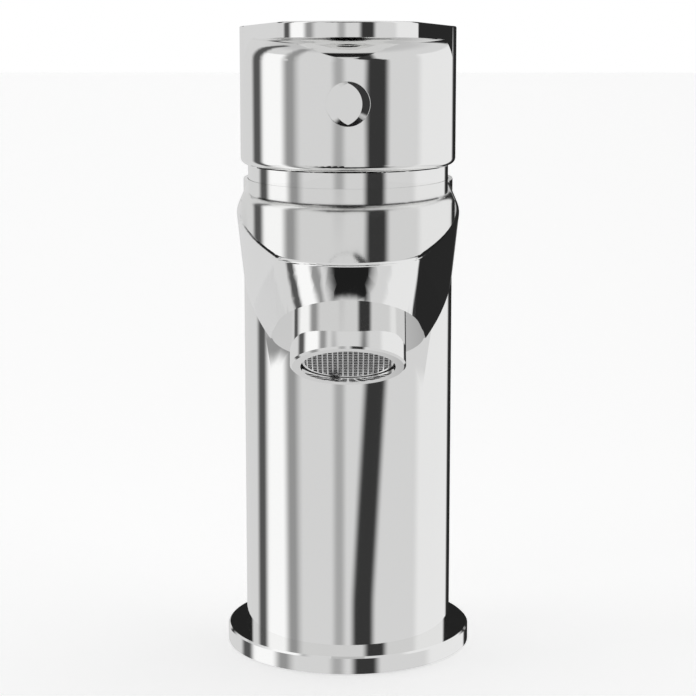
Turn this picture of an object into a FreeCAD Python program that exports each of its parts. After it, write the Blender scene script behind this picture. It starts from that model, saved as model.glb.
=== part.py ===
import FreeCAD, Part
import math
import os
import Sketcher
from FreeCAD import Placement, Rotation, Vector

os.makedirs("parts", exist_ok=True)
doc = FreeCAD.newDocument("basin_mixer")

# A single-lever basin mixer.  +Z is up, the origin is the centre of the face
# that rests on the basin, and the spout points along -Y.  Millimetres, degrees.
SIZES = {
    # outer form
    "body_radius": 24.0,
    "body_top": 109.5,
    "flange_radius": 28.45,
    "flange_thickness": 4.0,
    "flange_edge_break": 0.4,
    "spout_half_width": 23.0,
    "spout_side_radius": 305.0,
    "spout_tip_reach": 115.6,
    "spout_tip_radius": 13.35,
    "spout_depth": 50.0,
    "spout_side_lean": 7.7,
    "spout_tip_lean": 2.6,
    "spout_pitch": 1.0,
    "spout_edge_radius": 0.6,
    "underside_front_reach": 112.0,
    "underside_crown_reach": 50.0,
    "underside_crown_depth": 12.0,
    "underside_root_reach": 12.0,
    "underside_root_depth": 41.5,
    "underside_radius": 40.0,
    "underside_blend_radius": 22.0,
    # outlet
    "outlet_angle": 29.4,
    "outlet_reach": 112.9,
    "outlet_depth": 17.4,
    "outlet_face_front": 20.0,
    "outlet_boss_radius": 13.5,
    "outlet_boss_length": 9.0,
    "aerator_radius": 10.25,
    "aerator_proud": 5.8,
    "aerator_thread_radius": 9.5,
    "aerator_thread_length": 7.5,
    "aerator_bore_radius": 8.4,
    "aerator_lip": 0.35,
    "washer_thickness": 1.4,
    "washer_bore_radius": 6.5,
    "screen_radius": 8.1,
    "screen_recess": 0.9,
    "screen_wire": 0.22,
    "screen_pitch": 0.9,
    "insert_length": 6.0,
    "regulator_thickness": 2.4,
    "regulator_bore_radius": 3.0,
    "jet_radius": 1.0,
    # casting inside
    "spigot_radius": 21.9,
    "cavity_radius": 20.5,
    "cavity_height": 52.0,
    "seat_depth": 31.5,
    "port_offset": 8.5,
    "inlet_forward": 3.5,
    "hose_thread_radius": 4.46,
    "hose_thread_length": 12.0,
    "stud_thread_radius": 3.32,
    "stud_offset": 13.0,
    "stud_thread_length": 14.0,
    "port_radius": 2.8,
    "waterway_radius": 3.2,
    "waterway_depth": 7.2,
    "waterway_drop": 8.0,
    "riser_inner_reach": 20.2,
    "riser_outer_reach": 22.4,
    "riser_half_width": 5.0,
    "gasket_inner_radius": 24.8,
    "gasket_outer_radius": 27.2,
    "gasket_thickness": 1.6,
    # cartridge
    "cartridge_radius": 17.5,
    "housing_wall": 1.6,
    "base_plate_thickness": 2.0,
    "base_thickness": 5.0,
    "seal_radius": 4.2,
    "seal_height": 1.2,
    "fixed_disc_gap": 0.9,
    "fixed_disc_thickness": 4.0,
    "moving_disc_inset": 2.0,
    "moving_disc_thickness": 2.9,
    "carrier_plate_thickness": 1.9,
    "carrier_post_radius": 6.6,
    "shoulder_depth": 6.5,
    "shoulder_thickness": 2.5,
    "neck_height": 5.0,
    "rotor_gap": 0.5,
    "rotor_neck_radius": 11.0,
    "rotor_seal_width": 1.0,
    "rotor_seal_height": 1.5,
    "nut_overhang": 1.5,
    "nut_height": 5.4,
    "nut_notch_width": 4.0,
    "nut_notch_depth": 2.0,
    # lever mechanism
    "pivot_rise": 4.5,
    "lift_range": 22.0,
    "pin_radius": 1.5,
    "pin_length": 19.0,
    "lower_arm": 9.5,
    "ball_radius": 3.0,
    "arm_radius": 2.0,
    "stem_width": 7.0,
    "stem_rise": 20.0,
    "ear_rise": 3.2,
    # collar
    "collar_radius": 22.95,
    "collar_rise": 3.05,
    "collar_seat_depth": 0.9,
    "dome_radius": 21.4,
    "dome_rise": 10.3,
    "dome_opening_radius": 12.2,
    "dome_wall": 1.4,
    "dome_curve": 16.0,
    # handle
    "handle_radius": 24.6,
    "handle_wall": 2.2,
    "handle_collar_gap": 0.25,
    "handle_height": 31.0,
    "handle_pitch": 2.3,
    "handle_roof": 5.0,
    "lever_root_half_width": 24.35,
    "lever_root_reach": 3.0,
    "lever_tip_reach": 46.0,
    "lever_tip_radius": 14.9,
    "lever_thickness": 3.2,
    "lever_blend_radius": 5.0,
    "lever_edge_radius": 0.35,
    "handle_edge_radius": 1.5,
    "boss_radius": 8.2,
    "boss_depth": 22.3,
    "insert_wall": 1.0,
    "index_depth": 16.1,
    "index_radius": 4.8,
    "index_length": 4.3,
    "index_lens_offset": 1.7,
    "index_slope": 16.0,
    "index_boss_radius": 6.3,
    "grub_radius": 2.4,
    "grub_length": 10.0,
    # clearances
    "fit_gap": 0.1,
    "pin_gap": 0.05,
    "running_gap": 0.3,
    "face_gap": 0.1,
    "relief_gap": 0.4,
}

JETS = 8
JET_SPREAD = 0.65

# Sizes that follow from those above, as formulas in the same sheet.
LINKED = {
    "underside_crown_height": "body_top - underside_crown_depth",
    "underside_root_height": "body_top - underside_root_depth",
    "outlet_height": "body_top - outlet_depth",
    "seat_height": "body_top - seat_depth",
    "waterway_height": "body_top - waterway_depth",
    "shoulder_height": "body_top - shoulder_depth",
    "pivot_height": "body_top + pivot_rise",
    "stem_top": "pivot_height + stem_rise",
    "collar_top": "body_top + collar_rise",
    "dome_top": "body_top + dome_rise",
    "handle_bottom": "collar_top + handle_collar_gap",
    "handle_top": "handle_bottom + handle_height",
    "boss_bottom": "handle_top - boss_depth",
    "index_height": "handle_top - index_depth",
    "cartridge_bore": "cartridge_radius - housing_wall",
    "fixed_disc_radius": "cartridge_bore - fixed_disc_gap",
    "moving_disc_radius": "fixed_disc_radius - moving_disc_inset",
    "rotor_radius": "cartridge_bore - rotor_gap",
    "nut_radius": "cartridge_radius + nut_overhang",
}

sheet = doc.addObject("Spreadsheet::Sheet", "Sizes")
formulas = {name: f"={text}" for name, text in LINKED.items()}
for row, (name, value) in enumerate((SIZES | formulas).items(), start=1):
    sheet.set(f"A{row}", name)
    sheet.set(f"B{row}", str(value))
    sheet.setAlias(f"B{row}", name)
doc.recompute()


class Size:
    """A value together with the sheet expression that gives it."""

    def __init__(self, value, text):
        self.value = value
        self.text = text

    def __add__(self, other):
        other = size(other)
        return Size(self.value + other.value, f"({self.text} + {other.text})")

    def __sub__(self, other):
        other = size(other)
        return Size(self.value - other.value, f"({self.text} - {other.text})")

    def __mul__(self, other):
        other = size(other)
        return Size(self.value * other.value, f"({self.text} * {other.text})")

    def __truediv__(self, other):
        other = size(other)
        return Size(self.value / other.value, f"({self.text} / {other.text})")

    def __neg__(self):
        return Size(-self.value, f"(-1 * {self.text})")


def size(item):
    return item if isinstance(item, Size) else Size(float(item), str(float(item)))


def sine(angle):
    return Size(math.sin(math.radians(angle.value)), f"sin({angle.text} * 1 deg)")


def cosine(angle):
    return Size(math.cos(math.radians(angle.value)), f"cos({angle.text} * 1 deg)")


def tangent(angle):
    return Size(math.tan(math.radians(angle.value)), f"tan({angle.text} * 1 deg)")


class Sheet:
    """Reads a named cell of the sheet as a Size."""

    def __getattr__(self, name):
        return Size(float(sheet.get(name)), f"Sizes.{name}")


s = Sheet()
ZERO = size(0)
nodes = []


def bind(item, prop, amount):
    """Set a property and tie it to the sheet."""
    amount = size(amount)
    if "." not in prop:
        setattr(item, prop, amount.value)
    item.setExpression(prop, amount.text)


def new_body(name):
    body = doc.addObject("PartDesign::Body", name)
    body.Label = name
    nodes.append(body)
    return body


def plane(body, role):
    return next(item for item in body.Origin.OriginFeatures if item.Role == role)


def new_sketch(body, role, base=(ZERO, ZERO, ZERO), tilt=ZERO):
    """A sketch on an origin plane, moved by base and tilted about its own X."""
    sketch = body.newObject("Sketcher::SketchObject", f"{body.Name}_sketch")
    sketch.AttachmentSupport = (plane(body, role), "")
    sketch.MapMode = "FlatFace"
    base = [size(part) for part in base]
    tilt = size(tilt)
    start = Vector(*[part.value for part in base])
    sketch.AttachmentOffset = Placement(start, Rotation(Vector(1, 0, 0), tilt.value))
    for axis, part in zip("xyz", base):
        sketch.setExpression(f"AttachmentOffset.Base.{axis}", part.text)
    if tilt.value:
        sketch.setExpression("AttachmentOffset.Rotation.Angle", f"{tilt.text} * 1 deg")
    return sketch


def constrain(sketch, kind, amount, *where):
    amount = size(amount)
    index = sketch.addConstraint(sketch_constraint(kind, amount.value, *where))
    sketch.setExpression(f"Constraints[{index}]", amount.text)


def sketch_constraint(kind, value, *where):
    if value is None:
        return Sketcher.Constraint(kind, *where)
    return Sketcher.Constraint(kind, *where, value)


def relate(sketch, kind, *where):
    sketch.addConstraint(sketch_constraint(kind, None, *where))


START = 1
END = 2
CENTRE = 3
ORIGIN = (-1, 1)


def place_point(sketch, curve, point, across, up):
    """Dimension a point of a curve from the sketch origin."""
    for kind, amount in (("DistanceX", size(across)), ("DistanceY", size(up))):
        constrain(sketch, kind, amount, *ORIGIN, curve, point)


def circle(sketch, across, up, radius):
    centre = Vector(size(across).value, size(up).value, 0)
    curve = sketch.addGeometry(Part.Circle(centre, Vector(0, 0, 1), size(radius).value))
    place_point(sketch, curve, CENTRE, across, up)
    constrain(sketch, "Radius", radius, curve)


def polygon(sketch, corners, bends=()):
    """A closed outline.  bends maps a side's number to its radius; a positive
    radius bulges to the left of the way round, a negative one to the right."""
    bends = dict(bends)
    points = [(size(across), size(up)) for across, up in corners]
    flat = [Vector(across.value, up.value, 0) for across, up in points]
    curves = []
    for side, start in enumerate(flat):
        end = flat[(side + 1) % len(flat)]
        curves.append(add_side(sketch, start, end, bends.get(side)))
    for side, curve in enumerate(curves):
        after = curves[(side + 1) % len(curves)]
        turned = bends.get(side) is not None and size(bends[side]).value > 0
        after_bend = bends.get((side + 1) % len(curves))
        after_turned = after_bend is not None and size(after_bend).value > 0
        end = START if turned else END
        begin = END if after_turned else START
        relate(sketch, "Coincident", curve, end, after, begin)
        place_point(sketch, curve, START if not turned else END, *points[side])
    for side, radius in bends.items():
        radius = size(radius)
        constrain(sketch, "Radius", radius if radius.value > 0 else -radius, curves[side])


def add_side(sketch, start, end, radius):
    """A line, or an arc of the given radius, from start to end."""
    if radius is None:
        return sketch.addGeometry(Part.LineSegment(start, end))
    reach = size(radius).value
    chord = end - start
    left = Vector(-chord.y, chord.x, 0).normalize()
    rise = abs(reach) - math.sqrt(reach ** 2 - (chord.Length / 2) ** 2)
    middle = (start + end) / 2 + left * math.copysign(rise, reach)
    return sketch.addGeometry(Part.Arc(start, middle, end))


def tongue(sketch, half_width, root_reach, tip_reach, tip_radius):
    """An outline along -Y: two straight sides that taper onto a round tip."""
    lean = math.atan2(half_width.value - tip_radius.value, tip_reach.value)
    start, lowest, end = tip_points(tip_reach.value, tip_radius.value, lean)
    tip_curve = sketch.addGeometry(Part.Arc(start, lowest, end))
    place_point(sketch, tip_curve, CENTRE, 0, -tip_reach)
    constrain(sketch, "Radius", tip_radius, tip_curve)
    sides = []
    for edge, touch, point in ((half_width, end, END), (-half_width, start, START)):
        corner = Vector(edge.value, -root_reach.value, 0)
        line = sketch.addGeometry(Part.LineSegment(corner, touch))
        place_point(sketch, line, START, edge, -root_reach)
        relate(sketch, "Tangent", line, END, tip_curve, point)
        sides.append(line)
    close_back(sketch, half_width, root_reach, sides)


def tip_points(tip_reach, tip_radius, lean):
    """The ends and the lowest point of a round tip whose sides lean inwards."""
    across = tip_radius * math.cos(lean)
    along = -tip_reach - tip_radius * math.sin(lean)
    return (Vector(-across, along, 0), Vector(0, -tip_reach - tip_radius, 0),
            Vector(across, along, 0))


def close_back(sketch, half_width, root_reach, sides):
    corners = [Vector(edge.value, -root_reach.value, 0) for edge in (half_width, -half_width)]
    closing = sketch.addGeometry(Part.LineSegment(*corners))
    for point, side in zip((START, END), sides):
        relate(sketch, "Coincident", closing, point, side, START)


def bowed_tongue(sketch, half_width, side_radius, tip_reach, tip_radius):
    """An outline along -Y: straight sides, a long bow each side, a round tip."""
    bow, tip = side_radius.value - half_width.value, side_radius.value - tip_radius.value
    bend = tip_reach.value - math.sqrt(tip ** 2 - bow ** 2)
    lean = math.asin((tip_reach.value - bend) / tip)
    start, lowest, end = tip_points(tip_reach.value, tip_radius.value, lean)
    tip_curve = sketch.addGeometry(Part.Arc(start, lowest, end))
    place_point(sketch, tip_curve, CENTRE, 0, -tip_reach)
    constrain(sketch, "Radius", tip_radius, tip_curve)
    sides = []
    for sign, touch, point in ((1, end, END), (-1, start, START)):
        edge = half_width if sign > 0 else -half_width
        corner = Vector(edge.value, 0, 0)
        bend_point = Vector(edge.value, -bend, 0)
        line = sketch.addGeometry(Part.LineSegment(corner, bend_point))
        half_way = side_radius.value * (1 - math.cos(lean / 2))
        middle = Vector(sign * (half_width.value - half_way),
                        -bend - side_radius.value * math.sin(lean / 2), 0)
        arc = sketch.addGeometry(Part.Arc(bend_point, middle, touch))
        arc_start, arc_end = (END, START) if sign > 0 else (START, END)
        place_point(sketch, line, START, edge, 0)
        relate(sketch, "Vertical", line)
        relate(sketch, "Tangent", line, END, arc, arc_start)
        relate(sketch, "Tangent", arc, arc_end, tip_curve, point)
        constrain(sketch, "Radius", side_radius, arc)
        sides.append(line)
    close_back(sketch, half_width, ZERO, sides)


def rectangle(sketch, across, up, width, height):
    across, up, width, height = size(across), size(up), size(width), size(height)
    left, right = across - width / 2, across + width / 2
    low, high = up - height / 2, up + height / 2
    polygon(sketch, [(left, low), (right, low), (right, high), (left, high)])


def pad(body, sketch, length, both_ways=False, backwards=False, taper=None):
    feature = body.newObject("PartDesign::Pad", f"{body.Name}_pad")
    feature.Profile = sketch
    bind(feature, "Length", length)
    feature.Midplane = both_ways
    feature.Reversed = backwards
    if taper is not None:
        feature.TaperAngle = size(taper).value
        feature.setExpression("TaperAngle", f"{size(taper).text} * 1 deg")
    doc.recompute()
    return feature


def pocket(body, sketch, length, both_ways=False, forwards=True):
    """Cut along the sketch's normal, and make sure that it cut something."""
    before = body.Shape.Volume
    feature = body.newObject("PartDesign::Pocket", f"{body.Name}_pocket")
    feature.Profile = sketch
    bind(feature, "Length", length)
    feature.Midplane = both_ways
    feature.Reversed = forwards
    doc.recompute()
    if not body.Shape.Volume < before:
        raise RuntimeError(f"{feature.Label} cut nothing")
    return feature


def revolve(body, corners, bends=()):
    """Turn an outline of (radius, height) corners about the body's Z axis."""
    sketch = new_sketch(body, "XZ_Plane")
    polygon(sketch, corners, bends)
    feature = body.newObject("PartDesign::Revolution", f"{body.Name}_revolution")
    feature.Profile = sketch
    feature.ReferenceAxis = (sketch, ["V_Axis"])
    feature.Angle = 360.0
    doc.recompute()
    return feature


def groove(body, sketch):
    """Cut by turning a sketch about the body's Z axis."""
    before = body.Shape.Volume
    feature = body.newObject("PartDesign::Groove", f"{body.Name}_groove")
    feature.Profile = sketch
    feature.ReferenceAxis = (sketch, ["V_Axis"])
    feature.Angle = 360.0
    doc.recompute()
    if not body.Shape.Volume < before:
        raise RuntimeError(f"{feature.Label} cut nothing")


def round_edges(body, radius, wanted):
    """Round the edges of the body that wanted() picks."""
    base = body.Tip
    names = []
    for number, edge in enumerate(base.Shape.Edges, start=1):
        if wanted(edge):
            names.append(f"Edge{number}")
    feature = body.newObject("PartDesign::Fillet", f"{body.Name}_fillet")
    feature.Base = (base, names)
    bind(feature, "Radius", radius)
    doc.recompute()
    if not names or "Invalid" in feature.State or not body.Shape.isValid():
        raise RuntimeError(f"{feature.Label} rounded nothing")


def points_of(edge):
    first, last = edge.FirstParameter, edge.LastParameter
    return [edge.valueAt(first + (last - first) * part / 4) for part in range(5)]


def bore(body, radius, start, length, across=ZERO, along=ZERO):
    """A round hole upwards from the height start."""
    sketch = new_sketch(body, "XY_Plane", (ZERO, ZERO, start))
    circle(sketch, across, along, radius)
    return pocket(body, sketch, length)


def ring(name, inner, outer, low, high):
    body = new_body(name)
    revolve(body, [(inner, low), (outer, low), (outer, high), (inner, high)])
    return body


# ---------------------------------------------------------------- derived sizes
seat = s.seat_height
base_top = seat + s.base_thickness
fixed_disc_top = base_top + s.fixed_disc_thickness
moving_disc_low = fixed_disc_top + s.face_gap
moving_disc_top = moving_disc_low + s.moving_disc_thickness
carrier_plate_top = moving_disc_top + s.carrier_plate_thickness
rotor_low = carrier_plate_top + s.running_gap
rotor_shoulder = s.shoulder_height - s.shoulder_thickness - s.running_gap
ball_height = s.pivot_height - s.lower_arm
disc_travel = s.lower_arm * sine(s.lift_range)
disc_start = disc_travel / 2
post_top = ball_height + s.ball_radius - s.running_gap
post_room = post_top + s.running_gap * 2
neck_bore = s.rotor_neck_radius + s.running_gap
neck_outer = neck_bore + s.rotor_seal_width + s.housing_wall
nut_low = s.shoulder_height
ear_top = s.pivot_height + s.ear_rise
slot_width = s.stem_width + s.running_gap * 2
handle_bore = s.handle_radius - s.handle_wall
socket_width = s.stem_width + s.insert_wall * 2 + s.fit_gap * 4
collar_low = s.body_top - s.collar_seat_depth


def inlet_ports():
    """The two inlets and the outlet of the valve seat, as (across, along)."""
    yield -s.port_offset, s.inlet_forward
    yield s.port_offset, s.inlet_forward
    yield ZERO, -s.port_offset


# ---------------------------------------------------------------- fixed pieces
def base_flange():
    body = new_body("base_flange")
    inner = s.spigot_radius + s.fit_gap
    groove_in = s.gasket_inner_radius - s.fit_gap
    groove_out = s.gasket_outer_radius + s.fit_gap
    depth = s.gasket_thickness
    edge = s.flange_edge_break
    rim = s.flange_radius
    top = s.flange_thickness
    revolve(body, [
        (inner, ZERO), (groove_in, ZERO), (groove_in, depth), (groove_out, depth),
        (groove_out, ZERO), (rim, ZERO), (rim, top - edge), (rim - edge, top), (inner, top),
    ])


def base_gasket():
    ring("base_gasket", s.gasket_inner_radius, s.gasket_outer_radius, ZERO, s.gasket_thickness)


def top_plane(along):
    """Height of the sloping top at a distance along Y."""
    return s.body_top + along * tangent(s.spout_pitch)


def spout(body):
    """The leaning walls, the outlet face, the arched underside and the boss."""
    plan = new_sketch(body, "XY_Plane", (ZERO, ZERO, s.body_top), s.spout_pitch)
    bowed_tongue(plan, s.spout_half_width, s.spout_side_radius,
                 s.spout_tip_reach, s.spout_tip_radius)
    low = s.body_top - s.spout_depth
    foot = new_sketch(body, "XY_Plane", (ZERO, ZERO, low), s.spout_pitch)
    bowed_tongue(foot, s.spout_half_width - s.spout_depth * tangent(s.spout_side_lean),
                 s.spout_side_radius, s.spout_tip_reach,
                 s.spout_tip_radius - s.spout_depth * tangent(s.spout_tip_lean))
    walls = body.newObject("PartDesign::AdditiveLoft", "spout_walls")
    walls.Profile = plan
    walls.Sections = [foot]
    walls.Ruled = True
    doc.recompute()
    side = new_sketch(body, "YZ_Plane")
    along, up = cosine(s.outlet_angle), sine(s.outlet_angle)
    front_y = -s.outlet_reach - s.outlet_face_front * along
    front_z = s.outlet_height + s.outlet_face_front * up
    slope = tangent(s.outlet_angle)
    crown_z = s.outlet_height - (s.outlet_reach - s.underside_front_reach) * slope
    polygon(side, [
        (front_y, front_z), (-s.underside_front_reach, crown_z),
        (-s.underside_crown_reach, s.underside_crown_height),
        (-s.underside_root_reach, s.underside_root_height),
        (ZERO, s.underside_root_height),
        (ZERO, low - s.spout_depth), (front_y, low - s.spout_depth),
    ], {2: s.underside_radius})
    pocket(body, side, s.spout_half_width * 3, both_ways=True)
    boss = new_sketch(body, "XY_Plane", (ZERO, -s.outlet_reach, s.outlet_height),
                      -s.outlet_angle)
    circle(boss, ZERO, ZERO, s.outlet_boss_radius)
    pad(body, boss, s.outlet_boss_length)


def column(body):
    """The upright barrel, cut level with the spout's top face."""
    barrel = new_sketch(body, "XY_Plane", (ZERO, ZERO, s.flange_thickness))
    circle(barrel, ZERO, ZERO, s.body_radius)
    spare = s.body_radius / 4
    pad(body, barrel, s.body_top - s.flange_thickness + spare)
    top = new_sketch(body, "YZ_Plane")
    reach = s.body_radius * 2
    polygon(top, [
        (-reach, top_plane(-reach)), (reach, top_plane(reach)),
        (reach, s.body_top + spare * 2), (-reach, s.body_top + spare * 2),
    ])
    pocket(body, top, reach * 2, both_ways=True)
    spigot = new_sketch(body, "XY_Plane")
    circle(spigot, ZERO, ZERO, s.spigot_radius)
    pad(body, spigot, s.flange_thickness)


def on_spout_rim(edge):
    """True for the rim of the spout, all but its back edge inside the column."""
    points = points_of(edge)
    level = all(abs(at.z - top_plane(size(at.y)).value) < 0.01 for at in points)
    return level and min(at.y for at in points) < -1


def on_underside_root(edge):
    """True for the edge where the underside meets the barrel."""
    points = points_of(edge)
    barrel = s.body_radius.value
    on_barrel = all(abs(math.hypot(at.x, at.y) - barrel) < 0.02 for at in points)
    return on_barrel and points[2].y < 0 and abs(points[2].x) < 1


def waterways(body):
    """Inlets from the base cavity, the outlet, its riser and the spout's bore."""
    bore(body, s.cavity_radius, ZERO, s.cavity_height)
    for across, along in list(inlet_ports())[:2]:
        bore(body, s.hose_thread_radius, s.cavity_height, s.hose_thread_length, across, along)
        bore(body, s.port_radius, s.cavity_height, seat - s.cavity_height, across, along)
    bore(body, s.stud_thread_radius, s.cavity_height, s.stud_thread_length,
         ZERO, s.stud_offset)
    start = seat - s.waterway_drop
    bore(body, s.port_radius, start, s.waterway_drop, ZERO, -s.port_offset)
    cross = new_sketch(body, "XZ_Plane", (ZERO, ZERO, s.port_offset))
    circle(cross, ZERO, start, s.port_radius)
    pocket(body, cross, s.riser_inner_reach - s.port_offset + s.port_radius / 4)
    riser = new_sketch(body, "XY_Plane", (ZERO, ZERO, start - s.port_radius))
    depth = s.riser_outer_reach - s.riser_inner_reach
    rectangle(riser, ZERO, -s.riser_outer_reach + depth / 2, s.riser_half_width * 2, depth)
    pocket(body, riser, s.waterway_height - start + s.port_radius)
    run = new_sketch(body, "XZ_Plane", (ZERO, ZERO, s.riser_inner_reach))
    circle(run, ZERO, s.waterway_height, s.waterway_radius)
    pocket(body, run, s.outlet_reach - s.riser_inner_reach)


def outlet_bore(body):
    """The threaded bore for the aerator, square to the outlet face."""
    upright = -s.outlet_angle
    mouth = new_sketch(body, "XY_Plane", (ZERO, -s.outlet_reach, s.outlet_height), upright)
    circle(mouth, ZERO, ZERO, s.aerator_thread_radius + s.fit_gap)
    pocket(body, mouth, s.aerator_thread_length + s.fit_gap)


def mixer_body():
    body = new_body("mixer_body")
    spout(body)
    round_edges(body, s.spout_edge_radius, on_spout_rim)
    column(body)
    round_edges(body, s.underside_blend_radius, on_underside_root)
    high = s.body_radius / 4 + s.body_top
    bore(body, s.cartridge_radius + s.fit_gap, seat, high - seat)
    bore(body, s.nut_radius + s.fit_gap, nut_low, high - nut_low)
    bore(body, s.collar_radius + s.fit_gap, collar_low, high - collar_low)
    waterways(body)
    outlet_bore(body)


# ---------------------------------------------------------------- cartridge
def cartridge_base():
    body = new_body("cartridge_base")
    step = seat + s.base_plate_thickness
    inner = s.cartridge_bore - s.fit_gap
    revolve(body, [
        (ZERO, seat), (s.cartridge_radius, seat), (s.cartridge_radius, step),
        (inner, step), (inner, base_top), (ZERO, base_top),
    ])
    for across, along in inlet_ports():
        bore(body, s.port_radius, seat, s.base_thickness, across, along)
        bore(body, s.seal_radius + s.fit_gap, seat, s.seal_height, across, along)


def port_seals():
    rings = []
    for number, (across, along) in enumerate(inlet_ports(), start=1):
        outer = doc.addObject("Part::Cylinder", f"seal_outer_{number}")
        bind(outer, "Radius", s.seal_radius)
        inner = doc.addObject("Part::Cylinder", f"seal_inner_{number}")
        bind(inner, "Radius", s.port_radius + s.fit_gap)
        for item in (outer, inner):
            bind(item, "Height", s.seal_height)
            bind(item, "Placement.Base.x", across)
            bind(item, "Placement.Base.y", along)
            bind(item, "Placement.Base.z", seat)
        cut = doc.addObject("Part::Cut", f"seal_{number}")
        cut.Base = outer
        cut.Tool = inner
        rings.append(cut)
    group = doc.addObject("Part::Compound", "port_seals")
    group.Label = "port_seals"
    group.Links = rings
    doc.recompute()
    nodes.append(group)


def cartridge_housing():
    body = new_body("cartridge_housing")
    low = seat + s.base_plate_thickness
    under = s.shoulder_height - s.shoulder_thickness
    top = s.shoulder_height + s.neck_height
    seal_low = s.shoulder_height + s.running_gap
    seal_high = seal_low + s.rotor_seal_height
    groove = neck_bore + s.rotor_seal_width + s.fit_gap
    revolve(body, [
        (s.cartridge_bore, low), (s.cartridge_radius, low),
        (s.cartridge_radius, s.shoulder_height), (neck_outer, s.shoulder_height),
        (neck_outer, top), (neck_bore, top), (neck_bore, seal_high), (groove, seal_high),
        (groove, seal_low), (neck_bore, seal_low), (neck_bore, under), (s.cartridge_bore, under),
    ])


def rotor_seal():
    low = s.shoulder_height + s.running_gap
    ring("rotor_seal", neck_bore, neck_bore + s.rotor_seal_width, low,
         low + s.rotor_seal_height)


def fixed_disc():
    body = new_body("fixed_disc")
    revolve(body, [
        (ZERO, base_top), (s.fixed_disc_radius, base_top),
        (s.fixed_disc_radius, fixed_disc_top), (ZERO, fixed_disc_top),
    ])
    for across, along in inlet_ports():
        bore(body, s.port_radius, base_top, s.fixed_disc_thickness, across, along)


def moving_disc():
    body = new_body("moving_disc")
    face = new_sketch(body, "XY_Plane", (ZERO, ZERO, moving_disc_low))
    circle(face, ZERO, disc_start, s.moving_disc_radius)
    pad(body, face, s.moving_disc_thickness)
    mixing = new_sketch(body, "XY_Plane", (ZERO, ZERO, moving_disc_low))
    circle(mixing, ZERO, -s.port_radius, s.port_offset - s.port_radius / 2)
    pocket(body, mixing, s.moving_disc_thickness / 2)


def disc_carrier():
    body = new_body("disc_carrier")
    plate = new_sketch(body, "XY_Plane", (ZERO, ZERO, moving_disc_top))
    circle(plate, ZERO, disc_start, s.moving_disc_radius)
    pad(body, plate, s.carrier_plate_thickness)
    post = new_sketch(body, "XY_Plane", (ZERO, ZERO, moving_disc_top))
    circle(post, ZERO, ZERO, s.carrier_post_radius)
    pad(body, post, post_top - moving_disc_top)
    socket_low = ball_height - s.ball_radius - s.running_gap
    bore(body, s.ball_radius + s.running_gap, socket_low, s.lower_arm)


def rotor():
    body = new_body("rotor")
    reach = s.rotor_neck_radius
    revolve(body, [
        (ZERO, rotor_low), (s.rotor_radius, rotor_low), (s.rotor_radius, rotor_shoulder),
        (reach, rotor_shoulder), (reach, ear_top), (ZERO, ear_top),
    ])
    well = new_sketch(body, "XY_Plane", (ZERO, ZERO, rotor_low))
    half = s.carrier_post_radius + s.running_gap
    rectangle(well, ZERO, -disc_start, half * 2, half * 2 + disc_travel)
    pocket(body, well, post_room - rotor_low)
    slot = new_sketch(body, "XY_Plane", (ZERO, ZERO, rotor_low))
    rectangle(slot, ZERO, ZERO, slot_width, half * 2)
    pocket(body, slot, ear_top - rotor_low)
    gap = new_sketch(body, "XY_Plane", (ZERO, ZERO, post_room))
    rectangle(gap, ZERO, ZERO, slot_width, s.rotor_neck_radius * 3)
    pocket(body, gap, ear_top - post_room)
    hole = new_sketch(body, "YZ_Plane")
    circle(hole, ZERO, s.pivot_height, s.pin_radius + s.pin_gap)
    pocket(body, hole, s.rotor_neck_radius * 3, both_ways=True)


def stem_pin():
    body = new_body("stem_pin")
    face = new_sketch(body, "YZ_Plane")
    circle(face, ZERO, s.pivot_height, s.pin_radius)
    pad(body, face, s.pin_length, both_ways=True)


def stem():
    body = new_body("stem")
    low = s.pivot_height - s.stem_width / 2
    revolve(body, [
        (ZERO, ball_height - s.ball_radius), (s.ball_radius, ball_height),
        (s.arm_radius, ball_height + s.arm_radius), (s.arm_radius, s.pivot_height),
        (ZERO, s.pivot_height),
    ], {0: -s.ball_radius})
    shank = new_sketch(body, "XY_Plane", (ZERO, ZERO, low))
    rectangle(shank, ZERO, ZERO, s.stem_width, s.stem_width)
    pad(body, shank, s.stem_top - low)
    hole = new_sketch(body, "YZ_Plane")
    circle(hole, ZERO, s.pivot_height, s.pin_radius + s.pin_gap)
    pocket(body, hole, s.stem_width * 2, both_ways=True)


def cartridge_nut():
    inner = neck_outer + s.running_gap
    body = ring("cartridge_nut", inner, s.nut_radius, nut_low, nut_low + s.nut_height)
    for turn in (ZERO, size(90)):
        top = new_sketch(body, "XY_Plane",
                         (ZERO, ZERO, nut_low + s.nut_height - s.nut_notch_depth))
        wide, long = s.nut_notch_width, s.nut_radius * 3
        sides = (wide, long) if turn.value else (long, wide)
        rectangle(top, ZERO, ZERO, *sides)
        pocket(body, top, s.nut_notch_depth * 2)


def dome_cover():
    body = new_body("dome_cover")
    inner = s.dome_radius - s.dome_wall * 2
    revolve(body, [
        (inner, collar_low), (s.collar_radius, collar_low),
        (s.collar_radius, s.collar_top), (s.dome_radius, s.collar_top),
        (s.dome_opening_radius, s.dome_top),
        (s.dome_opening_radius, s.dome_top - s.dome_wall),
        (inner, s.collar_top + s.dome_wall / 4),
    ], {3: -s.dome_curve})


# ---------------------------------------------------------------- handle
def handle_plane(along):
    """Height of the handle's top at a distance along Y."""
    return s.handle_top - along * tangent(s.handle_pitch)


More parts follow.
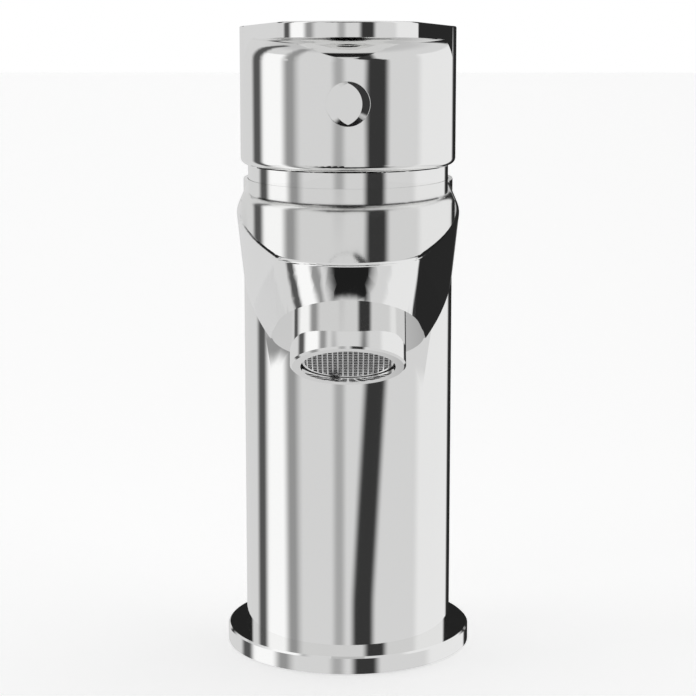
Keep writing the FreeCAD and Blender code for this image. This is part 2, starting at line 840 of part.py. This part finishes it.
def lever_slab(body):
    """The lever, blended by a cove into the cap that it springs from."""
    reach = s.lever_tip_reach + s.lever_tip_radius * 2
    cove = s.lever_blend_radius
    cove_end = s.handle_radius + cove
    under = handle_plane(-cove_end) - s.lever_thickness
    low = under - cove * 2
    plan = new_sketch(body, "XY_Plane", (ZERO, ZERO, low))
    tongue(plan, s.lever_root_half_width, s.lever_root_reach,
           s.lever_tip_reach, s.lever_tip_radius)
    pad(body, plan, cove * 4)
    shape = new_sketch(body, "XZ_Plane")
    inside = s.handle_radius - s.handle_wall / 2
    polygon(shape, [
        (inside, low - cove), (reach, low - cove), (reach, under), (cove_end, under),
        (s.handle_radius, under - cove), (inside, under - cove),
    ], {3: -cove})
    groove(body, shape)
    side = new_sketch(body, "YZ_Plane")
    polygon(side, [
        (-reach, handle_plane(-reach) - s.lever_thickness), (-cove_end, under),
        (-cove_end, low), (-reach, low),
    ])
    pocket(body, side, s.handle_radius * 3, both_ways=True)


def cap(body):
    """The round cap with its rounded foot."""
    skirt = new_sketch(body, "XY_Plane", (ZERO, ZERO, s.handle_bottom))
    circle(skirt, ZERO, ZERO, s.handle_radius)
    pad(body, skirt, s.handle_top - s.handle_bottom + s.lever_thickness)
    foot = s.handle_bottom.value
    round_edges(body, s.handle_edge_radius,
                lambda edge: all(abs(at.z - foot) < 0.01 for at in points_of(edge)))


def cap_top(body):
    """Cut the sloping top, then the hollow under it."""
    reach = s.lever_tip_reach + s.lever_tip_radius * 2
    high = s.handle_top + s.lever_blend_radius * 4
    top = new_sketch(body, "YZ_Plane")
    polygon(top, [
        (-reach, handle_plane(-reach)), (reach, handle_plane(reach)),
        (reach, high), (-reach, high),
    ])
    pocket(body, top, s.handle_radius * 3, both_ways=True)
    roof = s.handle_top - s.handle_roof
    bore(body, handle_bore, s.handle_bottom, roof - s.handle_bottom)


def on_top(edge):
    return all(abs(at.z - handle_plane(size(at.y)).value) < 0.01 for at in points_of(edge))


def handle_fixing(body):
    """The boss for the insert, and the bore for the grub screw and its plug."""
    roof = s.handle_top - s.handle_roof
    boss = new_sketch(body, "XY_Plane", (ZERO, ZERO, s.boss_bottom))
    circle(boss, ZERO, ZERO, s.boss_radius)
    pad(body, boss, roof - s.boss_bottom + s.fit_gap)
    bridge = new_sketch(body, "XZ_Plane")
    circle(bridge, ZERO, s.index_height, s.index_boss_radius)
    pad(body, bridge, handle_bore + s.handle_wall / 2)
    socket = new_sketch(body, "XY_Plane", (ZERO, ZERO, s.handle_bottom))
    rectangle(socket, ZERO, ZERO, socket_width, socket_width)
    pocket(body, socket, s.stem_top + s.insert_wall + s.fit_gap * 2 - s.handle_bottom)
    plug_seat = s.handle_radius - s.index_length - s.fit_gap
    plug = new_sketch(body, "XZ_Plane", (ZERO, ZERO, plug_seat))
    circle(plug, ZERO, s.index_height, s.index_radius + s.fit_gap)
    pocket(body, plug, s.index_length * 2)
    thread = new_sketch(body, "XZ_Plane")
    circle(thread, ZERO, s.index_height, s.grub_radius + s.fit_gap)
    pocket(body, thread, plug_seat)


def rear_relief(body):
    """Cut the back of the skirt so that it clears the collar at full lift."""
    side = new_sketch(body, "YZ_Plane")
    drop = s.pivot_height - s.collar_top - s.relief_gap
    start = s.pivot_height - drop / cosine(s.lift_range)
    reach = s.handle_radius * 2
    low = s.handle_bottom - s.handle_wall
    polygon(side, [
        (ZERO, start), (reach, start + reach * tangent(s.lift_range)),
        (reach, low), (ZERO, low),
    ])
    pocket(body, side, s.handle_radius * 3, both_ways=True)


def handle():
    body = new_body("handle")
    lever_slab(body)
    cap(body)
    cap_top(body)
    handle_fixing(body)
    rear_relief(body)
    round_edges(body, s.lever_edge_radius, on_top)


def handle_insert():
    body = new_body("handle_insert")
    outer = s.stem_width + s.insert_wall * 2 + s.fit_gap * 2
    block = new_sketch(body, "XY_Plane", (ZERO, ZERO, s.boss_bottom))
    rectangle(block, ZERO, ZERO, outer, outer)
    pad(body, block, s.stem_top + s.insert_wall + s.fit_gap - s.boss_bottom)
    inside = new_sketch(body, "XY_Plane", (ZERO, ZERO, s.boss_bottom))
    wide = s.stem_width + s.fit_gap * 2
    rectangle(inside, ZERO, ZERO, wide, wide)
    pocket(body, inside, s.stem_top + s.fit_gap - s.boss_bottom)
    window = new_sketch(body, "XZ_Plane")
    circle(window, ZERO, s.index_height, s.grub_radius + s.fit_gap)
    pocket(body, window, outer)


def grub_screw():
    body = new_body("grub_screw")
    near = s.stem_width / 2
    end = new_sketch(body, "XZ_Plane", (ZERO, ZERO, near))
    circle(end, ZERO, s.index_height, s.grub_radius)
    pad(body, end, s.grub_length)
    key = new_sketch(body, "XZ_Plane", (ZERO, ZERO, near + s.grub_length * 0.6))
    corners = []
    for corner in range(6):
        angle = size(60 * corner)
        reach = s.grub_radius * 0.6
        corners.append((reach * cosine(angle), s.index_height + reach * sine(angle)))
    polygon(key, corners)
    pocket(body, key, s.grub_length)


def index_plug():
    """A round plug whose face is a lens between two sloping crescents."""
    back = s.handle_radius - s.index_length
    barrel = doc.addObject("Part::Cylinder", "index_barrel")
    bind(barrel, "Radius", s.index_radius)
    bind(barrel, "Height", s.index_length)
    shapes = [barrel]
    for name, side in (("left", -s.index_lens_offset), ("right", s.index_lens_offset)):
        slope = doc.addObject("Part::Cone", f"index_slope_{name}")
        bind(slope, "Radius1", s.index_radius + s.index_length / tangent(s.index_slope))
        bind(slope, "Radius2", s.index_radius)
        bind(slope, "Height", s.index_length)
        bind(slope, "Placement.Base.x", side)
        shapes.append(slope)
    face = doc.addObject("Part::MultiCommon", "index_plug")
    face.Label = "index_plug"
    face.Shapes = shapes
    face.Placement = Placement(Vector(0, -back.value, s.index_height.value),
                               Rotation(Vector(1, 0, 0), 90))
    face.setExpression("Placement.Base.y", (-back).text)
    face.setExpression("Placement.Base.z", s.index_height.text)
    doc.recompute()
    nodes.append(face)


# ---------------------------------------------------------------- aerator
def on_outlet(item):
    """Stand a piece on the outlet face, its own +Z out of the spout."""
    turn = 180.0 - s.outlet_angle.value
    item.Placement = Placement(Vector(0, -s.outlet_reach.value, s.outlet_height.value),
                               Rotation(Vector(1, 0, 0), turn))
    item.setExpression("Placement.Base.y", (-s.outlet_reach).text)
    item.setExpression("Placement.Base.z", s.outlet_height.text)
    item.setExpression("Placement.Rotation.Angle", f"(180 - {s.outlet_angle.text}) * 1 deg")


def aerator_housing():
    body = new_body("aerator_housing")
    lip = s.aerator_lip
    low = -(s.aerator_thread_length - s.washer_thickness)
    high = s.aerator_proud
    revolve(body, [
        (s.aerator_bore_radius, low), (s.aerator_thread_radius, low),
        (s.aerator_thread_radius, ZERO), (s.aerator_radius, ZERO),
        (s.aerator_radius, high - lip), (s.aerator_radius - lip, high),
        (s.aerator_bore_radius, high),
    ])
    on_outlet(body)


def aerator_ring(name, inner, outer, low, high):
    on_outlet(ring(name, inner, outer, low, high))


def screen_height():
    return s.aerator_proud - s.screen_recess


def aerator_pieces():
    """Washer, flow regulator and insert, stacked behind the screen."""
    top = -s.aerator_thread_length
    aerator_ring("aerator_washer", s.washer_bore_radius, s.aerator_thread_radius,
                 top, top + s.washer_thickness)
    out = s.aerator_bore_radius - s.fit_gap
    insert_high = screen_height() - s.screen_wire * 4
    insert_low = insert_high - s.insert_length
    insert = new_body("aerator_insert")
    revolve(insert, [
        (ZERO, insert_low), (out, insert_low), (out, insert_high), (ZERO, insert_high),
    ])
    reach = out * JET_SPREAD
    for jet in range(JETS):
        angle = size(360.0 / JETS * jet)
        bore(insert, s.jet_radius, insert_low, s.insert_length,
             reach * cosine(angle), reach * sine(angle))
    on_outlet(insert)
    aerator_ring("flow_regulator", s.regulator_bore_radius, out,
                 insert_low - s.regulator_thickness, insert_low)


def aerator_screen():
    """Two crossed layers of wire inside a ring."""
    wire = s.screen_wire.value
    low = screen_height().value - wire * 2
    pitch = s.screen_pitch.value
    radius = s.screen_radius.value
    rim = radius - wire * 2
    foot = Vector(0, 0, low)
    hoop = Part.makeCylinder(radius, wire * 2, foot).cut(Part.makeCylinder(rim, wire * 2, foot))
    wires = []
    count = int(rim / pitch)
    for number in range(-count, count + 1):
        offset = number * pitch
        half = math.sqrt((rim + wire) ** 2 - offset ** 2)
        start = Vector(offset - wire / 2, -half, low + wire)
        wires.append(Part.makeBox(wire, half * 2, wire, start))
        start = Vector(-half, offset - wire / 2, low)
        wires.append(Part.makeBox(half * 2, wire, wire, start))
    shape = hoop.fuse(wires).removeSplitter()
    screen = doc.addObject("Part::Feature", "aerator_screen")
    screen.Label = "aerator_screen"
    screen.Shape = shape
    on_outlet(screen)
    doc.recompute()
    nodes.append(screen)


def check_and_export():
    """Stop on any failed object, then write each piece."""
    doc.recompute()
    for item in doc.Objects:
        if "Invalid" in item.State or "Error" in item.State:
            raise RuntimeError(f"{item.Label} failed: {item.State}")
    for item in nodes:
        shape = item.Shape
        if shape.isNull() or not shape.isValid() or not shape.Solids:
            raise RuntimeError(f"{item.Label} has no valid solid")
        print(f"{item.Label}: {len(shape.Solids)} solid, {shape.Volume:.1f} mm3")
        shape.exportStep(f"parts/{item.Label}.step")


for make in (base_flange, base_gasket, mixer_body, cartridge_base, port_seals,
             cartridge_housing, rotor_seal, fixed_disc, moving_disc, disc_carrier,
             rotor, stem_pin, stem, cartridge_nut, dome_cover, handle, handle_insert,
             grub_screw, index_plug, aerator_housing, aerator_pieces, aerator_screen):
    make()
check_and_export()
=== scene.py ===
import math
import bpy
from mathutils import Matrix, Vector


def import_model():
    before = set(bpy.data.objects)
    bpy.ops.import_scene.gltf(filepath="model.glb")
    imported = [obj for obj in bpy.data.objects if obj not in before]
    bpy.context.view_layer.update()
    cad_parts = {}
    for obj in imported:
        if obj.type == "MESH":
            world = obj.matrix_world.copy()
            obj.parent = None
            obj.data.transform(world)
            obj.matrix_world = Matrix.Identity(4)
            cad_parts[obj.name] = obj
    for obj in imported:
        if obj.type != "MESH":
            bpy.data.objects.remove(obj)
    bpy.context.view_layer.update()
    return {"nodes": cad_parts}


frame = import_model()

MM = 0.001

# Camera, at the height and distance from which the ellipses of the base,
# the collar and the outlet look right.
LENS = 106.0
SENSOR_WIDTH = 36.0
CAMERA_DISTANCE = 0.4704
CAMERA_HEIGHT = 0.1543
CAMERA_PITCH = 10.2

# The flare of the casting's end wall above the outlet, imitated in its shading:
# how far up it starts, in metres, how far it turns out at the edge, in degrees,
# where the end wall begins along Y, and how upright its faces are.
FLARE_HEIGHT = 0.011
FLARE_ANGLE = 28.0
END_WALL_START = -0.09
END_WALL_TILT = 0.3

# Width of the polished edge break on each plated piece, in millimetres.
EDGE_BREAKS = {"aerator_housing": 0.15, "base_flange": 0.2,
               "dome_cover": 0.2, "index_plug": 0.12}
EDGE_SEGMENTS = 3
SHARP_ANGLE = 32

# The floor, in metres, just under the base, and how much light it gives.
FLOOR_REACH = 3.0
FLOOR_LEVEL = -0.0002
FLOOR_GLOW = 0.42


def node_tree(material):
    """Turn on a material's or world's nodes and clear them."""
    material.use_nodes = True
    tree = material.node_tree
    tree.nodes.clear()
    return tree


def linear(grey):
    """The scene-linear value of a display grey from 0 to 255."""
    level = grey / 255.0
    return level / 12.92 if level <= 0.04045 else ((level + 0.055) / 1.055) ** 2.4


# The studio: soft white walls with a few panels standing round the tap.  Each has
# a grey, a bearing and half-width in degrees from the camera's side towards +X,
# the softness of its edges, and the elevations between which it stands.
WALL = 215
BELOW = 195
BACKDROP = 255
PANELS = {
    "left softbox": (255, -82, 14, 16, -30, 60),
    "right softbox": (235, 118, 30, 12, -30, 60),
    "left flag": (85, -113, 3, 10, -60, 30),
    "left shade": (150, -64, 2, 12, -60, 60),
    "front stand": (170, -10, 1, 9, -60, 5),
    "right flag": (55, 20, 7, 9, -60, 30),
    "back flag": (40, 162, 10, 8, -60, 20),
    "dark ceiling edge": (35, 180, 35, 10, 8, 22),
    "front gap": (30, 5, 30, 25, 20, 42),
}
# Degrees of elevation over which a panel's top and bottom fade, and between which
# the wall darkens towards the ground.
EDGE_SOFTNESS = 5
FLOOR_EDGE = (-60, -40)
# The right flag leans: turns of bearing per sine of elevation, the sine below the
# horizon at which it meets its stated bearing, and the least and most that it moves.
LEAN_RATE = 0.38
LEAN_LEVEL = 0.27
LEAN_LIMITS = (-0.01, 0.03)


def mixed(tree, factor, first, second):
    """A colour mix of two sockets or fixed greys."""
    mix = tree.nodes.new("ShaderNodeMix")
    mix.data_type = "RGBA"
    tree.links.new(factor, mix.inputs["Factor"])
    for socket, source in ((mix.inputs["A"], first), (mix.inputs["B"], second)):
        if isinstance(source, (int, float)):
            value = linear(source)
            socket.default_value = (value, value, value, 1)
        else:
            tree.links.new(source, socket)
    return mix.outputs["Result"]


def arithmetic(tree, operation, *sources):
    """One maths node over sockets and numbers."""
    node = tree.nodes.new("ShaderNodeMath")
    node.operation = operation
    for socket, source in zip(node.inputs, sources):
        if isinstance(source, (int, float)):
            socket.default_value = source
        else:
            tree.links.new(source, socket)
    return node.outputs[0]


def ramp_up(tree, value, low, high):
    """0 below low, 1 above high, eased between."""
    step = tree.nodes.new("ShaderNodeMapRange")
    step.interpolation_type = "SMOOTHSTEP"
    step.inputs["From Min"].default_value = low
    step.inputs["From Max"].default_value = high
    tree.links.new(value, step.inputs["Value"])
    return step.outputs["Result"]


def over(tree, height, low, high):
    """The same for elevations in degrees, where height is the sine of one."""
    return ramp_up(tree, height, math.sin(math.radians(low)), math.sin(math.radians(high)))


def turned(bearing):
    """A bearing in degrees as its place from 0 to 1 round the circle."""
    return bearing / 360 + 0.5


def leaning(tree, bearing, height):
    """The bearing against which the leaning flag is placed."""
    raised = arithmetic(tree, "MULTIPLY_ADD", height, LEAN_RATE, LEAN_RATE * LEAN_LEVEL)
    least, most = LEAN_LIMITS
    raised = arithmetic(tree, "MINIMUM", arithmetic(tree, "MAXIMUM", raised, least), most)
    return arithmetic(tree, "SUBTRACT", bearing, raised)


def panel(tree, colour, bearing, height, stand):
    """Stand one soft-edged panel in front of what is behind it."""
    grey, centre, half, soft, low, high = stand
    away = arithmetic(tree, "SUBTRACT", bearing, turned(centre))
    away = arithmetic(tree, "ABSOLUTE", arithmetic(tree, "WRAP", away, 0.5, -0.5))
    across = arithmetic(tree, "SUBTRACT", 1.0,
                        ramp_up(tree, away, half / 360, (half + soft) / 360))
    above = over(tree, height, low, low + EDGE_SOFTNESS)
    below = arithmetic(tree, "SUBTRACT", 1.0, over(tree, height, high, high + EDGE_SOFTNESS))
    cover = arithmetic(tree, "MULTIPLY", across, arithmetic(tree, "MULTIPLY", above, below))
    return mixed(tree, cover, colour, grey)


def world():
    """A plain white studio, with softboxes and flags round the tap."""
    bpy.context.scene.view_settings.view_transform = "Standard"
    scene_world = bpy.data.worlds.new("studio")
    bpy.context.scene.world = scene_world
    tree = node_tree(scene_world)
    nodes, links = tree.nodes, tree.links
    coordinates = nodes.new("ShaderNodeTexCoord")
    split = nodes.new("ShaderNodeSeparateXYZ")
    links.new(coordinates.outputs["Generated"], split.inputs[0])
    height = split.outputs["Z"]
    front = arithmetic(tree, "MULTIPLY", split.outputs["Y"], -1.0)
    angle = arithmetic(tree, "ARCTAN2", split.outputs["X"], front)
    bearing = arithmetic(tree, "MULTIPLY_ADD", angle, 0.5 / math.pi, 0.5)
    colour = mixed(tree, over(tree, height, *FLOOR_EDGE), BELOW, WALL)
    for name, stand in PANELS.items():
        place = leaning(tree, bearing, height) if name == "right flag" else bearing
        colour = panel(tree, colour, place, height, stand)
    seen = nodes.new("ShaderNodeLightPath")
    colour = mixed(tree, seen.outputs["Is Camera Ray"], colour, BACKDROP)
    background = nodes.new("ShaderNodeBackground")
    output = nodes.new("ShaderNodeOutputWorld")
    links.new(colour, background.inputs["Color"])
    links.new(background.outputs[0], output.inputs["Surface"])


def principled(name, metal=0.0, **extra):
    """A new material, its tree, its shader and the object's coordinates."""
    material = bpy.data.materials.new(name)
    tree = node_tree(material)
    shader = tree.nodes.new("ShaderNodeBsdfPrincipled")
    shader.inputs["Metallic"].default_value = metal
    for socket, value in extra.items():
        shader.inputs[socket.replace("_", " ")].default_value = value
    output = tree.nodes.new("ShaderNodeOutputMaterial")
    tree.links.new(shader.outputs[0], output.inputs["Surface"])
    coordinates = tree.nodes.new("ShaderNodeTexCoord")
    return material, tree, shader, coordinates.outputs["Object"]


def noise(tree, where, scale, detail=3.0):
    """Soft noise from 0 to 1."""
    texture = tree.nodes.new("ShaderNodeTexNoise")
    texture.inputs["Scale"].default_value = scale
    texture.inputs["Detail"].default_value = detail
    tree.links.new(where, texture.inputs["Vector"])
    return texture.outputs["Fac"]


def spread(tree, value, socket, low, high):
    """Feed a 0 to 1 value to a socket as low to high."""
    scaled = tree.nodes.new("ShaderNodeMapRange")
    scaled.inputs["To Min"].default_value = low
    scaled.inputs["To Max"].default_value = high
    tree.links.new(value, scaled.inputs["Value"])
    tree.links.new(scaled.outputs["Result"], socket)


def tint(tree, value, socket, first, second):
    """Feed a 0 to 1 value to a socket as a colour between two."""
    mix = tree.nodes.new("ShaderNodeMix")
    mix.data_type = "RGBA"
    mix.inputs["A"].default_value = (*first, 1)
    mix.inputs["B"].default_value = (*second, 1)
    tree.links.new(value, mix.inputs["Factor"])
    tree.links.new(mix.outputs["Result"], socket)


def bump(tree, value, shader, distance):
    """Raise the surface by value times distance, in metres, in shading only."""
    relief = tree.nodes.new("ShaderNodeBump")
    relief.inputs["Distance"].default_value = distance
    relief.inputs["Strength"].default_value = 1.0
    tree.links.new(value, relief.inputs["Height"])
    tree.links.new(relief.outputs[0], shader.inputs["Normal"])


def chrome():
    """Polished chrome plate with a trace of unevenness in its gloss."""
    material, tree, shader, where = principled("chrome_plate", metal=1.0)
    haze = noise(tree, where, 35.0)
    spread(tree, haze, shader.inputs["Roughness"], 0.035, 0.065)
    tint(tree, haze, shader.inputs["Base Color"], (0.93, 0.93, 0.925), (0.95, 0.95, 0.945))
    return material


def outlet_plane():
    """Middle and normal of the casting's slanted outlet face."""
    mesh = frame["nodes"]["mixer_body"].data
    middle, normal, total = Vector(), Vector(), 0.0
    for face in mesh.polygons:
        if -0.7 < face.normal.y < -0.3 and face.normal.z < -0.7 and face.center.y < -0.1:
            middle += face.center * face.area
            normal += face.normal * face.area
            total += face.area
    return middle / total, normal.normalized()


def flared_chrome():
    """The same plate on the casting, with a bump that makes its straight end wall
    reflect as if it flared out to the outlet.  The mesh isn't changed."""
    material = chrome()
    material.name = "chrome_plate_casting"
    tree = material.node_tree
    shader = next(node for node in tree.nodes if node.type == "BSDF_PRINCIPLED")
    middle, normal = outlet_plane()
    place = tree.nodes.new("ShaderNodeTexCoord").outputs["Object"]
    along = tree.nodes.new("ShaderNodeVectorMath")
    along.operation = "DOT_PRODUCT"
    along.inputs[1].default_value = normal
    tree.links.new(place, along.inputs[0])
    rise = arithmetic(tree, "SUBTRACT", middle.dot(normal), along.outputs["Value"])
    into = arithmetic(tree, "MAXIMUM", arithmetic(tree, "SUBTRACT", FLARE_HEIGHT, rise), 0.0)
    lift = arithmetic(tree, "MULTIPLY", arithmetic(tree, "POWER", into, 2.0),
                      math.tan(math.radians(FLARE_ANGLE)) / (2 * FLARE_HEIGHT))
    facing = tree.nodes.new("ShaderNodeNewGeometry")
    split = tree.nodes.new("ShaderNodeSeparateXYZ")
    tree.links.new(facing.outputs["Normal"], split.inputs[0])
    tilt = arithmetic(tree, "ABSOLUTE", split.outputs["Z"])
    level = arithmetic(tree, "LESS_THAN", tilt, END_WALL_TILT)
    spot = tree.nodes.new("ShaderNodeSeparateXYZ")
    tree.links.new(place, spot.inputs[0])
    front = arithmetic(tree, "LESS_THAN", spot.outputs["Y"], END_WALL_START)
    lift = arithmetic(tree, "MULTIPLY", arithmetic(tree, "MULTIPLY", level, front), lift)
    bump(tree, lift, shader, 1.0)
    return material


def turned_metal(name, first, second, low, high, rings):
    """Machined metal: fine turning rings, and a gloss that varies."""
    material, tree, shader, where = principled(name, metal=1.0)
    lathe = tree.nodes.new("ShaderNodeTexWave")
    lathe.wave_type = "RINGS"
    lathe.rings_direction = "Z"
    lathe.inputs["Scale"].default_value = rings
    lathe.inputs["Distortion"].default_value = 0.4
    tree.links.new(where, lathe.inputs["Vector"])
    patches = noise(tree, where, 120.0)
    tint(tree, patches, shader.inputs["Base Color"], first, second)
    spread(tree, patches, shader.inputs["Roughness"], low, high)
    bump(tree, lathe.outputs["Fac"], shader, 0.00002)
    return material


def wire_metal():
    """Bright drawn wire for the screen."""
    material, tree, shader, where = principled("drawn_steel", metal=1.0)
    drawn = noise(tree, where, 900.0)
    tint(tree, drawn, shader.inputs["Base Color"], (0.90, 0.90, 0.90), (0.98, 0.98, 0.98))
    spread(tree, drawn, shader.inputs["Roughness"], 0.18, 0.34)
    return material


def moulded(name, first, second, low, high, grain=900.0, depth=0.00002, **extra):
    """Moulded plastic or rubber: mottled colour over a fine surface grain."""
    material, tree, shader, where = principled(name, **extra)
    tint(tree, noise(tree, where, 60.0), shader.inputs["Base Color"], first, second)
    grains = noise(tree, where, grain, 6.0)
    spread(tree, grains, shader.inputs["Roughness"], low, high)
    bump(tree, grains, shader, depth)
    return material


def ceramic():
    """Lapped alumina: off-white, faintly speckled and silky."""
    material, tree, shader, where = principled("alumina", Coat_Weight=0.3)
    specks = tree.nodes.new("ShaderNodeTexVoronoi")
    specks.inputs["Scale"].default_value = 1500.0
    tree.links.new(where, specks.inputs["Vector"])
    tint(tree, specks.outputs["Distance"], shader.inputs["Base Color"],
         (0.80, 0.79, 0.75), (0.90, 0.89, 0.86))
    spread(tree, noise(tree, where, 300.0), shader.inputs["Roughness"], 0.18, 0.32)
    return material


def camera():
    """Look down on the spout from straight ahead."""
    data = bpy.data.cameras.new("camera")
    data.lens = LENS
    data.sensor_width = SENSOR_WIDTH
    eye = bpy.data.objects.new("camera", data)
    eye.location = (0, -CAMERA_DISTANCE, CAMERA_HEIGHT)
    eye.rotation_euler = (math.radians(90 - CAMERA_PITCH), 0, 0)
    bpy.context.scene.collection.objects.link(eye)
    bpy.context.scene.camera = eye


def floor():
    """A plain pale floor, lit a little from within, that the chrome doesn't mirror."""
    mesh = bpy.data.meshes.new("floor")
    corners = [(-1, -1), (1, -1), (1, 1), (-1, 1)]
    points = [(x * FLOOR_REACH, y * FLOOR_REACH, FLOOR_LEVEL) for x, y in corners]
    mesh.from_pydata(points, [], [(0, 1, 2, 3)])
    plane = bpy.data.objects.new("floor", mesh)
    bpy.context.scene.collection.objects.link(plane)
    material = bpy.data.materials.new("pale_floor")
    tree = node_tree(material)
    shader = tree.nodes.new("ShaderNodeBsdfPrincipled")
    shader.inputs["Base Color"].default_value = (0.9, 0.9, 0.9, 1)
    shader.inputs["Roughness"].default_value = 0.6
    shader.inputs["Emission Color"].default_value = (1, 1, 1, 1)
    shader.inputs["Emission Strength"].default_value = FLOOR_GLOW
    output = tree.nodes.new("ShaderNodeOutputMaterial")
    tree.links.new(shader.outputs[0], output.inputs["Surface"])
    mesh.materials.append(material)
    plane.visible_glossy = False


def finish_nodes():
    """Give every carried-over node the material that its real piece has."""
    plate = chrome()
    brass = turned_metal("turned_brass", (0.72, 0.50, 0.22), (0.83, 0.62, 0.31),
                         0.20, 0.36, 700.0)
    steel = turned_metal("zinc_plated_steel", (0.55, 0.56, 0.58), (0.72, 0.72, 0.73),
                         0.24, 0.42, 900.0)
    rubber = moulded("nitrile_rubber", (0.018, 0.018, 0.019), (0.035, 0.035, 0.036),
                     0.55, 0.72)
    white = moulded("acetal_plastic", (0.78, 0.78, 0.75), (0.86, 0.86, 0.84),
                    0.32, 0.44, Coat_Weight=0.1)
    grey = moulded("glass_filled_plastic", (0.16, 0.165, 0.17), (0.24, 0.245, 0.25),
                   0.40, 0.55, 1800.0)
    dark = moulded("aerator_plastic", (0.05, 0.05, 0.052), (0.09, 0.09, 0.092), 0.45, 0.6)
    groups = (
        (flared_chrome(), "mixer_body"),
        (plate, "base_flange dome_cover handle index_plug aerator_housing"),
        (brass, "cartridge_nut handle_insert stem"),
        (steel, "stem_pin grub_screw"),
        (rubber, "base_gasket port_seals rotor_seal aerator_washer flow_regulator"),
        (white, "cartridge_housing disc_carrier rotor"),
        (grey, "cartridge_base"),
        (dark, "aerator_insert"),
        (ceramic(), "fixed_disc moving_disc"),
        (wire_metal(), "aerator_screen"),
    )
    for material, names in groups:
        for name in names.split():
            item = frame["nodes"][name]
            item.data.materials.clear()
            item.data.materials.append(material)


def soften_edges():
    """Break the sharp edges of the plated pieces, as polishing does."""
    for name, width in EDGE_BREAKS.items():
        bevel = frame["nodes"][name].modifiers.new("edge_break", "BEVEL")
        bevel.width = width * MM
        bevel.segments = EDGE_SEGMENTS
        bevel.limit_method = "ANGLE"
        bevel.angle_limit = math.radians(SHARP_ANGLE)
        bevel.use_clamp_overlap = True
        bevel.harden_normals = True


world()
camera()
floor()
finish_nodes()
soften_edges()
